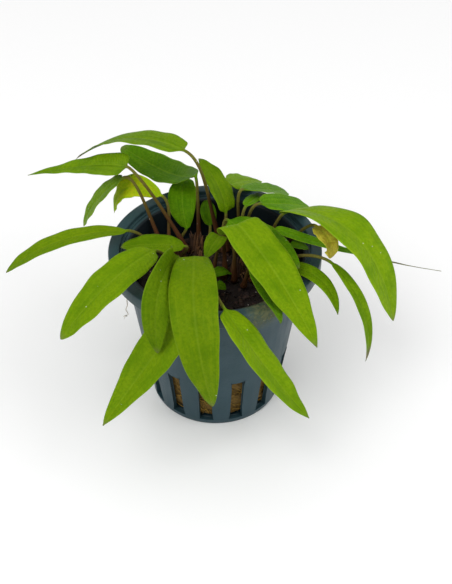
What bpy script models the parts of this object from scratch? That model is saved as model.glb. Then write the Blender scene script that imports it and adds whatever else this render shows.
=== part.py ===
"""A potted cryptocoryne: a slotted net pot, its growing medium, and a rosette of
stalked leaves. Real size, metres, +Z up, front towards -Y, origin at the centre
of the pot's underside."""

import math

import bpy
import numpy as np

MM = 0.001
GAP = 0.3

# Pot, in millimetres
POT_HEIGHT = 48.5
RIM_RADIUS = 28.0
RIM_INNER_RADIUS = 25.0
RIM_THICKNESS = 1.1
SKIRT_DEPTH = 3.6
SKIRT_THICKNESS = 1.0
BASE_RADIUS = 17.8
WALL_TOP_RADIUS = 24.4
WALL_THICKNESS = 1.2
FLOOR_THICKNESS = 1.6
SHOULDER_DROP = 1.7
SHOULDER_RISE = 0.5
EDGE_ROUND = 0.4
FOOT_CHAMFER = 0.6
POT_SIDES = 56

# Slots round the foot of the pot
SLOT_COUNT = 14
SLOT_WIDTH = 3.7
SLOT_LOW = 2.0
SLOT_HIGH = 17.5
SLOT_FIRST_ANGLE = -8.0
SLOT_CUT_INNER = 13.8
SLOT_CUT_OUTER = 25.0

# Growing medium
WOOL_TOP = 34.0
SOIL_TOP = 38.0
SOIL_EDGE_DROP = 0.8
SOIL_RADIUS = 20.6
SOIL_FLAT_RADIUS = 16.9
SOIL_TAPER = 0.4
WOOL_SETBACK = 0.8
MEDIUM_SIDES = 40

# Crowns, and the leaves that rise from them
CROWN_HEIGHT = 3.0
CROWN_RADIUS = 1.7
CROWN_SIDES = 10
CROWN_TOP_SHARE = 0.6
CROWN_MIDDLE_SHARE = 0.95
FOOT_HEIGHT = 0.9
STALK_RADIUS = 0.42
STALK_FIRST_SHARE = 0.35
STALK_SECOND_SHARE = 0.25
MARGIN_THICKNESS = 0.32
TIP_HALF_WIDTH = 0.25
FOLD_DEGREES = 8.0
FOLD_START = 0.15
BLUNTNESS = 1.2
STALK_STATIONS = (0.0, 0.2, 0.4, 0.6, 0.75, 0.87, 0.95)
BLADE_STATIONS = (0.0, 0.05, 0.13, 0.24, 0.36, 0.48, 0.60, 0.72, 0.83, 0.93, 1.0)

# Half the thickness over the midrib, at four places along the blade
RIDGE_STATIONS = (0.0, 0.13, 0.8, 1.0)
RIDGE_HALF = (STALK_RADIUS, 0.40, 0.32, 0.16)

ROOT_RADIUS = 0.22
SMOOTH_DEGREES = 40

# Where each crown stands on the growing medium
CROWNS = {
    "crown_left": (-10.0, 7.5),
    "crown_rear_left": (-5.0, 12.0),
    "crown_front_left": (-4.5, 3.5),
    "crown_rear": (2.0, 13.0),
    "crown_right": (9.0, 9.0),
    "crown_front_right": (6.0, 2.0),
}

# Colour and roughness of every material; a leaf takes the one of its tone
SURFACES = {
    "pot": ((0.055, 0.095, 0.135), 0.45),
    "rockwool": ((0.30, 0.20, 0.075), 0.95),
    "soil": ((0.030, 0.017, 0.012), 0.90),
    "crown": ((0.12, 0.10, 0.035), 0.80),
    "root": ((0.55, 0.50, 0.42), 0.70),
    "bright": ((0.20, 0.34, 0.012), 0.45),
    "green": ((0.13, 0.26, 0.010), 0.47),
    "shaded": ((0.055, 0.15, 0.010), 0.50),
    "yellow": ((0.34, 0.36, 0.020), 0.48),
    "withered": ((0.22, 0.13, 0.040), 0.70),
}

# One leaf a row: where the stalk leaves the crown, the joint of stalk and blade,
# the blade's middle and its tip, all in millimetres, and its greatest width.
# belly is where along the blade it is widest, lean rolls the blade about its
# length, twist rolls the tip on from the base, arch lifts the stalk, and lead is
# how far before the joint the blade starts to open.
LEAVES = [
    dict(name="leaf_top_arch", tone="green", foot=(1, 15.5), joint=(-8, 13, 70),
         middle=(-18, 22, 67.5), tip=(-40, 37.5, 50.5), width=9.5, belly=0.26, lean=5),
    dict(name="leaf_top_broad", tone="shaded", foot=(-4.5, 15), joint=(-5.5, 14, 61.5),
         middle=(-11.5, 27, 52.5), tip=(-27.5, 45.5, 49.5), width=9.5, belly=0.56, lean=-15,
         arch=-0.05, lead=2),
    dict(name="leaf_upper_left", tone="green", foot=(-7.5, 10), joint=(-23.5, 16.5, 62.5),
         middle=(-38.5, 31, 52.5), tip=(-53.5, 34, 47.5), width=8, belly=0.26, lean=-15, twist=20,
         arch=0.1),
    dict(name="leaf_left_hanging", tone="green", foot=(-14, 10.5), joint=(-25, 19, 57),
         middle=(-34.5, 23.5, 44), tip=(-38, 26.5, 35), width=8, belly=0.38, lean=-30, twist=-30),
    dict(name="leaf_yellowing", tone="yellow", foot=(-12.5, 8.5), joint=(-14.5, 16.5, 53),
         middle=(-24.5, 22.5, 51.5), tip=(-28.5, 23.5, 42), width=6.5, belly=0.5, lean=-50,
         twist=30, arch=0.13),
    dict(name="leaf_rising_oval", tone="shaded", foot=(-11.5, 11.5), joint=(-8, 15, 44),
         middle=(-9, 18.5, 48), tip=(-8.5, 28, 50.5), width=8, belly=0.56, lean=-10, lead=1),
    dict(name="leaf_rear_rising", tone="green", foot=(3, 10.5), joint=(2.5, 11.5, 53.5),
         middle=(0.5, 17, 56.5), tip=(-4.5, 22.5, 61), width=8.5, belly=0.36, lean=20, twist=-20,
         arch=0.06, lead=2),
    dict(name="leaf_rear_right_a", tone="green", foot=(2.5, 15.5), joint=(4, 20, 54),
         middle=(7.5, 28, 49.5), tip=(13, 37.5, 43), width=7.5, belly=0.38, lean=15, twist=-20,
         arch=0.12),
    dict(name="leaf_rear_right_b", tone="shaded", foot=(6.5, 14), joint=(7.5, 12.5, 58),
         middle=(14.5, 22, 51), tip=(20.5, 34, 41.5), width=7.5, lean=10, twist=30),
    dict(name="leaf_right_short", tone="shaded", foot=(6, 9.5), joint=(8.5, 8.5, 56),
         middle=(12, 17, 52.5), tip=(13.5, 22, 49.5), width=4.5, belly=0.38, twist=20, arch=0.07,
         lead=1),
    dict(name="leaf_right_upper", tone="shaded", foot=(7, 12), joint=(12, 7.5, 57),
         middle=(20.5, 14.5, 51.5), tip=(26.5, 23, 44), width=8.5, belly=0.36, lean=15, twist=10,
         arch=0.1),
    dict(name="leaf_right_large", tone="bright", foot=(12.5, 7.5), joint=(20, 2.5, 58.5),
         middle=(29.5, -4.5, 61), tip=(46.5, -14, 35), width=15.5, belly=0.36, lean=-10, twist=30,
         arch=0.12, lead=3),
    dict(name="leaf_right_narrow", tone="shaded", foot=(10, 6), joint=(17.5, 1.5, 52.5),
         middle=(35.5, -3.5, 49.5), tip=(59, -5, 44.5), width=4, belly=0.26, lean=-10, twist=-20,
         arch=0.05, lead=4),
    dict(name="leaf_withered", tone="withered", foot=(16, 7), joint=(26, -1.5, 56.5),
         middle=(29, -8.5, 57), tip=(30, -6.5, 50), width=5, arch=0.1),
    dict(name="leaf_right_low", tone="green", foot=(9.5, -2), joint=(20, -10, 50),
         middle=(28.5, -16, 48), tip=(31, -21, 43.5), width=4.5, belly=0.38, lean=5, lead=4),
    dict(name="leaf_right_long", tone="green", foot=(9.5, 0), joint=(30.5, -14.5, 53.5),
         middle=(36.5, -22, 47.5), tip=(38.5, -25.5, 31.5), width=4, belly=0.42, lean=-15,
         twist=-10, arch=0.2, lead=2),
    dict(name="leaf_front_right_large", tone="bright", foot=(5, -2.5), joint=(7, -10, 62),
         middle=(14, -17.5, 56), tip=(25, -33.5, 44), width=13, belly=0.3, twist=20, arch=0.15,
         lead=7),
    dict(name="leaf_front_right_low", tone="bright", foot=(-2.5, 1), joint=(2.5, -29, 52.5),
         middle=(11.5, -37.5, 43), tip=(23.5, -41, 27), width=11.5, belly=0.26, lean=-10,
         twist=20, arch=0.07),
    dict(name="leaf_front_centre", tone="bright", foot=(-8, -2.5), joint=(-5, -14.5, 56),
         middle=(-4.5, -33.5, 53), tip=(-0.5, -41, 31), width=12, lean=15, twist=40, arch=-0.01,
         lead=4),
    dict(name="leaf_front_left_shaded", tone="green", foot=(-8.5, 3.5), joint=(-10.5, -15, 56),
         middle=(-13.5, -28, 56), tip=(-14, -32.5, 41), width=8.5, belly=0.42, lean=-35,
         twist=100, lead=8),
    dict(name="leaf_front_left_low", tone="bright", foot=(-4.5, -1), joint=(-7, -28.5, 51),
         middle=(-17.5, -33, 36), tip=(-27.5, -43, 26.5), width=12, belly=0.3, lean=-10, lead=1),
    dict(name="leaf_left_large", tone="bright", foot=(-11, 2.5), joint=(-16.5, -11.5, 55.5),
         middle=(-24.5, -21.5, 55.5), tip=(-38, -29, 42.5), width=10, belly=0.44, lean=-5,
         twist=10, lead=3),
    dict(name="leaf_left_inner", tone="green", foot=(-11, 4.5), joint=(-8, 1.5, 47.5),
         middle=(-15, 1, 48.5), tip=(-24.5, -1.5, 49.5), width=8, belly=0.42),
    dict(name="leaf_left_long", tone="bright", foot=(-13, 7.5), joint=(-23, 3, 51.5),
         middle=(-39, -2, 52.5), tip=(-55.5, -1.5, 41), width=6, lean=-5, twist=-20, arch=0.04),
    dict(name="leaf_under_front_right", tone="shaded", foot=(2.5, 1.5), joint=(3.5, 5.5, 53),
         middle=(12.5, -4.5, 53.5), tip=(21, -15.5, 54), width=10.5, lean=5, twist=-10, arch=0.09),
    dict(name="leaf_drooping_dark", tone="shaded", foot=(7.5, -4.5), joint=(10.5, -12, 52.5),
         middle=(15, -27, 50), tip=(16, -32, 50.5), width=6, lean=-20, twist=-60, lead=3),
    dict(name="leaf_small_oval", tone="green", foot=(-0.5, 1.5), joint=(1, 2.5, 50),
         middle=(-0.5, -1, 50), tip=(-2.5, -4, 48), width=5.5, arch=0.07, lead=3),
    dict(name="leaf_sprout_a", tone="shaded", foot=(2.5, -1), joint=(-0.5, -3.5, 41.5),
         middle=(2, -1.5, 41.5), tip=(4.5, 0, 39), width=4, arch=0.1),
    dict(name="leaf_sprout_b", tone="shaded", foot=(-2, -2.5), joint=(0, -7.5, 41.5),
         middle=(1.5, -7.5, 41.5), tip=(3, -7.5, 40.5), width=3.5, arch=0.1),
    dict(name="leaf_rear_small", tone="shaded", foot=(-2.5, 10), joint=(-1.5, 15, 44),
         middle=(-2, 18, 46), tip=(-2.5, 23, 47), width=4.5, lean=5, twist=-20, arch=-0.01),
    dict(name="leaf_right_inner", tone="shaded", foot=(13, 5.5), joint=(19.5, -1.5, 50.5),
         middle=(22.5, -1.5, 50), tip=(24.5, -1.5, 49), width=4, lean=-5, arch=0.1),
]
LEAF_DEFAULTS = dict(belly=0.4, lean=0.0, twist=0.0, arch=0.08, lead=0.0)

# A loose root that hangs beside the pot, under the rim
ROOT_POINTS = [
    (-22.0, -13.4, 46.8),
    (-22.6, -14.2, 44.0),
    (-22.4, -14.6, 41.6),
    (-22.9, -14.4, 39.2),
    (-22.4, -14.0, 37.2),
    (-23.8, -13.8, 36.4),
]


def clear_scene():
    for obj in list(bpy.data.objects):
        bpy.data.objects.remove(obj, do_unlink=True)


def make_material(name, surface):
    colour, roughness = SURFACES[surface]
    material = bpy.data.materials.new(name)
    material.use_nodes = True
    shader = material.node_tree.nodes["Principled BSDF"]
    shader.inputs["Base Color"].default_value = (*colour, 1.0)
    shader.inputs["Roughness"].default_value = roughness
    shader.inputs["Metallic"].default_value = 0.0
    material.diffuse_color = (*colour, 1.0)
    return material


def add_object(name, points, faces, material):
    """A mesh object from points in millimetres."""
    mesh = bpy.data.meshes.new(name)
    mesh.from_pydata([tuple(float(v) * MM for v in p) for p in points], [], faces)
    mesh.shade_smooth()
    mesh.set_sharp_from_angle(angle=math.radians(SMOOTH_DEGREES))
    if material:
        mesh.materials.append(material)
    obj = bpy.data.objects.new(name, mesh)
    bpy.context.scene.collection.objects.link(obj)
    return obj


def turned(profile, sides, centre=(0.0, 0.0)):
    """Turns a profile that starts and ends on the axis, running down the outside first."""
    points = []
    faces = []
    rings = []
    for radius, height in profile:
        start = len(points)
        if radius == 0.0:
            points.append((centre[0], centre[1], height))
            rings.append([start] * sides)
            continue
        for i in range(sides):
            angle = 2 * math.pi * i / sides
            points.append((
                centre[0] + radius * math.cos(angle),
                centre[1] + radius * math.sin(angle),
                height,
            ))
        rings.append(list(range(start, start + sides)))
    for upper, lower in zip(rings, rings[1:]):
        for i in range(sides):
            j = (i + 1) % sides
            corners = [upper[i], lower[i], lower[j], upper[j]]
            face = [c for k, c in enumerate(corners) if c not in corners[:k]]
            faces.append(face)
    return points, faces


def wall_radius(height):
    """The pot's outer wall radius at a height."""
    share = height / (POT_HEIGHT - RIM_THICKNESS)
    return BASE_RADIUS + (WALL_TOP_RADIUS - BASE_RADIUS) * share


def pot_profile():
    under_rim = POT_HEIGHT - RIM_THICKNESS
    skirt_foot = POT_HEIGHT - SKIRT_DEPTH
    shoulder = POT_HEIGHT - SHOULDER_DROP
    inner_floor = wall_radius(FLOOR_THICKNESS) - WALL_THICKNESS
    return [
        (0.0, FLOOR_THICKNESS),
        (inner_floor, FLOOR_THICKNESS),
        (wall_radius(shoulder) - WALL_THICKNESS, shoulder),
        (RIM_INNER_RADIUS - EDGE_ROUND, shoulder + SHOULDER_RISE),
        (RIM_INNER_RADIUS, POT_HEIGHT - EDGE_ROUND),
        (RIM_INNER_RADIUS + EDGE_ROUND, POT_HEIGHT),
        (RIM_RADIUS - EDGE_ROUND, POT_HEIGHT),
        (RIM_RADIUS, POT_HEIGHT - EDGE_ROUND),
        (RIM_RADIUS, skirt_foot),
        (RIM_RADIUS - SKIRT_THICKNESS, skirt_foot),
        (RIM_RADIUS - SKIRT_THICKNESS, under_rim),
        (wall_radius(under_rim), under_rim),
        (wall_radius(FOOT_CHAMFER), FOOT_CHAMFER),
        (BASE_RADIUS - FOOT_CHAMFER, 0.0),
        (0.0, 0.0),
    ]


def slot_cutter():
    """Upright boxes, one for each slot, that reach through the wall."""
    points = []
    faces = []
    corners = ((SLOT_CUT_INNER, -1), (SLOT_CUT_OUTER, -1), (SLOT_CUT_OUTER, 1), (SLOT_CUT_INNER, 1))
    half = SLOT_WIDTH / 2
    for i in range(SLOT_COUNT):
        angle = math.radians(-90 + SLOT_FIRST_ANGLE + 360 * i / SLOT_COUNT)
        along = np.array((math.cos(angle), math.sin(angle), 0.0))
        across = np.array((-math.sin(angle), math.cos(angle), 0.0))
        start = len(points)
        for height in (SLOT_LOW, SLOT_HIGH):
            for reach, side in corners:
                points.append(along * reach + across * half * side + (0, 0, height))
        faces.append([start + k for k in (3, 2, 1, 0)])
        faces.append([start + k for k in (4, 5, 6, 7)])
        for k in range(4):
            after = (k + 1) % 4
            faces.append([start + k, start + after, start + 4 + after, start + 4 + k])
    return points, faces


def add_pot():
    pot = add_object("pot", *turned(pot_profile(), POT_SIDES), make_material("pot", "pot"))
    cutter = add_object("slot_cutter", *slot_cutter(), None)
    cutter.hide_render = True
    cutter.display_type = "WIRE"
    cut = pot.modifiers.new("slots", "BOOLEAN")
    cut.operation = "DIFFERENCE"
    cut.solver = "EXACT"
    cut.object = cutter


def add_medium():
    low = FLOOR_THICKNESS + GAP
    inset = WALL_THICKNESS + WOOL_SETBACK
    wool = [
        (0.0, WOOL_TOP),
        (wall_radius(WOOL_TOP) - inset, WOOL_TOP),
        (wall_radius(SLOT_HIGH) - inset, SLOT_HIGH),
        (wall_radius(low) - inset, low),
        (0.0, low),
    ]
    add_object("rockwool_plug", *turned(wool, MEDIUM_SIDES),
               make_material("rockwool_plug", "rockwool"))
    soil = [
        (0.0, SOIL_TOP),
        (SOIL_FLAT_RADIUS, SOIL_TOP),
        (SOIL_RADIUS, SOIL_TOP - SOIL_EDGE_DROP),
        (SOIL_RADIUS - SOIL_TAPER, WOOL_TOP + GAP),
        (0.0, WOOL_TOP + GAP),
    ]
    add_object("soil_layer", *turned(soil, MEDIUM_SIDES),
               make_material("soil_layer", "soil"))


def add_crown(name, place):
    low = SOIL_TOP + GAP
    profile = [
        (0.0, low + CROWN_HEIGHT),
        (CROWN_RADIUS * CROWN_TOP_SHARE, low + CROWN_HEIGHT),
        (CROWN_RADIUS * CROWN_MIDDLE_SHARE, low + CROWN_HEIGHT / 2),
        (CROWN_RADIUS, low),
        (0.0, low),
    ]
    add_object(name, *turned(profile, CROWN_SIDES, place), make_material(name, "crown"))


def blade_line(leaf, t):
    """Points and directions along the parabola through joint, middle and tip."""
    joint, middle, tip = (np.array(leaf[k], float) for k in ("joint", "middle", "tip"))
    first = np.linalg.norm(middle - joint)
    second = np.linalg.norm(tip - middle)
    m = first / (first + second)
    t = np.asarray(t, float)[:, None]
    line = joint * ((t - m) * (t - 1) / m)
    line = line + middle * (t * (t - 1) / (m * (m - 1)))
    line = line + tip * (t * (t - m) / (1 - m))
    slope = joint * ((2 * t - m - 1) / m)
    slope = slope + middle * ((2 * t - 1) / (m * (m - 1)))
    slope = slope + tip * ((2 * t - m) / (1 - m))
    return line, slope / np.linalg.norm(slope, axis=1)[:, None]


def stalk_line(leaf, t):
    """Points and directions along the curve from the crown to the blade."""
    joint = np.array(leaf["joint"], float)
    foot = np.array((*leaf["foot"], SOIL_TOP + FOOT_HEIGHT))
    start = blade_line(leaf, [0.0])[1][0]
    span = np.linalg.norm(joint - foot)
    first = foot + (joint - foot) * STALK_FIRST_SHARE + np.array((0, 0, span * leaf["arch"]))
    second = joint - start * span * STALK_SECOND_SHARE
    t = np.asarray(t, float)[:, None]
    line = foot * (1 - t) ** 3 + 3 * first * t * (1 - t) ** 2
    line = line + 3 * second * t * t * (1 - t) + joint * t ** 3
    slope = (first - foot) * (1 - t) ** 2 + 2 * (second - first) * t * (1 - t)
    slope = slope + (joint - second) * t * t
    return line, slope / np.linalg.norm(slope, axis=1)[:, None]


def outline_share(t, belly):
    """How wide the blade is at t, as a share of its greatest width."""
    rise = BLUNTNESS * belly
    fall = BLUNTNESS * (1 - belly)
    peak = belly ** rise * (1 - belly) ** fall
    return t ** rise * (1 - t) ** fall / peak


def leaf_place(centre, joint_index, lead):
    """Where each point lies: -1 to 0 along the stalk, then 0 to 1 along the blade."""
    steps = np.linalg.norm(np.diff(centre, axis=0), axis=1)
    length = np.concatenate([[0.0], np.cumsum(steps)])
    start = length[joint_index] - lead
    return np.where(length < start, length / start - 1, (length - start) / (length[-1] - start))


def leaf_rings(leaf):
    """Rings of six points from the foot of the stalk to the blade's tip."""
    stalk_t = np.array(STALK_STATIONS)
    blade_t = np.array(BLADE_STATIONS)
    stalk, stalk_along = stalk_line(leaf, stalk_t)
    blade, blade_along = blade_line(leaf, blade_t)
    centre = np.concatenate([stalk, blade])
    along = np.concatenate([stalk_along, blade_along])
    reach = blade[-1] - blade[0]
    level = np.array((-reach[1], reach[0], 0.0)) / np.hypot(reach[0], reach[1])
    side = level - (along @ level)[:, None] * along
    side /= np.linalg.norm(side, axis=1)[:, None]
    up = np.cross(along, side)
    roll = leaf["lean"] + leaf["twist"] * (blade_t - 0.5)
    roll = np.radians(np.concatenate([roll[0] * stalk_t ** 2, roll]))[:, None]
    side, up = side * np.cos(roll) + up * np.sin(roll), up * np.cos(roll) - side * np.sin(roll)
    place = leaf_place(centre, len(stalk_t), leaf["lead"])
    on_stalk = place <= 0
    t = np.clip(place, 0, 1)
    least = np.where(place < 0.5, STALK_RADIUS * math.cos(math.pi / 6), TIP_HALF_WIDTH)
    broad = leaf["width"] / 2 * outline_share(t, leaf["belly"])
    half_width = np.maximum(broad, least)[:, None]
    margin = np.where(on_stalk, STALK_RADIUS, MARGIN_THICKNESS)[:, None] / 2
    ridge = np.where(on_stalk, STALK_RADIUS, np.interp(t, RIDGE_STATIONS, RIDGE_HALF))[:, None]
    fold = np.radians(np.interp(t, (0, FOLD_START), (0, FOLD_DEGREES)))[:, None]
    lift = up * half_width * np.sin(fold)
    left = centre + side * half_width * np.cos(fold) + lift
    right = centre - side * half_width * np.cos(fold) + lift
    return np.stack([
        left + up * margin,
        centre + up * ridge,
        right + up * margin,
        right - up * margin,
        centre - up * ridge,
        left - up * margin,
    ], axis=1)


def skinned(rings):
    """A closed tube over rings that all have the same number of points."""
    count, around, _ = rings.shape
    points = rings.reshape(-1, 3)
    faces = []
    for i in range(count - 1):
        for j in range(around):
            k = (j + 1) % around
            here = i * around
            there = here + around
            faces.append((here + j, here + k, there + k))
            faces.append((here + j, there + k, there + j))
    faces.append(tuple(reversed(range(around))))
    faces.append(tuple(range(len(points) - around, len(points))))
    return points, faces


def add_leaf(spec):
    leaf = {**LEAF_DEFAULTS, **spec}
    material = make_material(leaf["name"], leaf["tone"])
    add_object(leaf["name"], *skinned(leaf_rings(leaf)), material)


def add_stray_root():
    path = np.array(ROOT_POINTS)
    along = np.gradient(path, axis=0)
    along /= np.linalg.norm(along, axis=1)[:, None]
    side = np.cross(along, (0.0, 1.0, 0.0))
    side /= np.linalg.norm(side, axis=1)[:, None]
    up = np.cross(along, side)
    rings = []
    for i in range(6):
        turn = math.radians(60 * i)
        rings.append(path + ROOT_RADIUS * (side * math.cos(turn) + up * math.sin(turn)))
    points, faces = skinned(np.stack(rings, axis=1))
    add_object("stray_root", points, faces, make_material("stray_root", "root"))


def build():
    clear_scene()
    add_pot()
    add_medium()
    for name, place in CROWNS.items():
        add_crown(name, place)
    for spec in LEAVES:
        add_leaf(spec)
    add_stray_root()


build()
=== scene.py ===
"""A potted cryptocoryne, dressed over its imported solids: fine leaves with veins and
stalks, fibrous crowns, crumbly medium, fibre plug and a slotted net pot."""

import math

import bpy
import numpy as np
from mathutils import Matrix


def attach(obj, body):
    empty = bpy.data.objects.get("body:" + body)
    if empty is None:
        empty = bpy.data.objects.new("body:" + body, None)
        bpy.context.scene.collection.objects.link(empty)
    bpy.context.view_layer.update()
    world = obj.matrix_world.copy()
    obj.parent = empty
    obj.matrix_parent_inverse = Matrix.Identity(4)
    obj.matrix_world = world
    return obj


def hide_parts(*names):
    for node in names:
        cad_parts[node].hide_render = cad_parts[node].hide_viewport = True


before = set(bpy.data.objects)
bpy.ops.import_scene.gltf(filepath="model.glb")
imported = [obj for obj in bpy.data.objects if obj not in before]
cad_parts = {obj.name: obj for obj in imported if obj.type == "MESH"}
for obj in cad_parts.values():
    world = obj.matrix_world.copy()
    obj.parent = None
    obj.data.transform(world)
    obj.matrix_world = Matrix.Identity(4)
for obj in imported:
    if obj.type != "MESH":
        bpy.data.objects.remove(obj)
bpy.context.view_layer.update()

MM = 0.001
UP = np.array((0.0, 0.0, 1.0))

# Lengths are in millimetres, apart from the stage and the lights

# Pot
POT_HEIGHT = 48.5
RIM_RADIUS = 28.0
RIM_INNER_RADIUS = 25.0
RIM_THICKNESS = 1.1
SKIRT_DEPTH = 3.6
SKIRT_THICKNESS = 1.0
BASE_RADIUS = 17.8
WALL_TOP_RADIUS = 24.4
WALL_THICKNESS = 1.2
FLOOR_THICKNESS = 1.6
SHOULDER_DROP = 1.7
FOOT_CHAMFER = 0.6
SLOT_COUNT = 14
SLOT_WIDTH = 3.7
SLOT_LOW = 2.0
SLOT_HIGH = 17.5
SLOT_FIRST_ANGLE = -8.0
SLOT_COLUMNS = (-1.0, -1 / 3, 1 / 3, 1.0)
BAR_COLUMNS = 5
SLOT_RINGS = 6
FLOOR_RINGS = (0.4, 8.0)
INNER_RINGS = (24.0, 31.0, 38.0, 44.0)
OUTER_RINGS = (40.0, 33.0, 25.0)
LIP_RISE = 0.3
CORNER_SIZES = (0.25, 0.12, 0.45, 0.5, 0.3, 0.3, 0.2, 0.2)
EDGE_BEVEL = 0.16
WALL_SLOPE = (WALL_TOP_RADIUS - BASE_RADIUS) / (POT_HEIGHT - RIM_THICKNESS)

# Growing medium
WOOL_SEED = 11
WOOL_TOP = 34.0
WOOL_FOOT = FLOOR_THICKNESS + 0.4
WOOL_GAP = 0.8
WOOL_DRAWN_IN = 0.3
WOOL_LUMP = 0.35
WOOL_ROWS = 48
WOOL_SIDES = 160
FIBRE_COUNT = 420
FIBRE_HEIGHTS = (2.6, 19.5)
FIBRE_LIMITS = (2.2, 20.5)
FIBRE_LENGTHS = (3.0, 8.0)
FIBRE_RADII = (0.07, 0.17)
FIBRE_STEPS = 8
SOIL_SEED = 23
SOIL_TOP = 38.0
SOIL_FOOT = WOOL_TOP + 0.3
SOIL_RADIUS = 20.6
SOIL_RINGS = 26
SOIL_SIDES = 72
CRUMB_COUNT = 620
CRUMB_SIZE = 0.35
CRUMB_SPREAD = 0.75
CRUMB_LIFT = 0.15
PALE_SHARE = 0.05
PALE_SIZE = 0.25
PALE_LIFT = 0.35

# Leaves
LEAF_SEED = 100
FOOT_HEIGHT = 0.9
STALK_RADIUS = 0.40
SHEATH_EXTRA = 0.55
SHEATH_REACH = 0.22
STALK_FIRST_SHARE = 0.35
STALK_SECOND_SHARE = 0.25
TIP_HALF_WIDTH = 0.13
FOLD_DEGREES = 8.0
BLUNTNESS = 1.2
ACROSS = 17
STALK_STEPS = 30
BLADE_STEPS = 60
BLADE_OPENS = (-0.005, 0.045)
UNEVEN = 0.003
UNEVEN_WIDTH = 10.0
MARGIN_HALF = 0.05
MIDDLE_EXTRA = 0.11
GROOVE_DEPTH = 0.10
GROOVE_REACH = 0.38
RIB_HEIGHTS = (0.32, 0.24, 0.04)
RIB_REACH = 0.42
SIDE_VEINS = (0.36, 0.70)
SIDE_VEIN_DEPTH = 0.045
SIDE_VEIN_REACH = 0.2
TINT_SPREAD = 0.06
DRY_STRENGTH = 0.85
DRY_BEFORE = 0.05
DRY_AFTER = 0.08

# Crowns
CROWN_SEED = 40
STUMP_RADIUS = 1.55
STUMP_RINGS = 8
STUMP_RISE = 0.55
SHEATHS = 14
SHEATH_HEIGHTS = (3.0, 7.5)
SHEATH_RADII = (0.6, 1.0)
ROOTLETS = 10
ROOTLET_RADII = (0.16, 0.07)

CROWNS = {
    "crown_left": (-10.0, 7.5),
    "crown_rear_left": (-5.0, 12.0),
    "crown_front_left": (-4.5, 3.5),
    "crown_rear": (2.0, 13.0),
    "crown_right": (9.0, 9.0),
    "crown_front_right": (6.0, 2.0),
}

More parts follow.
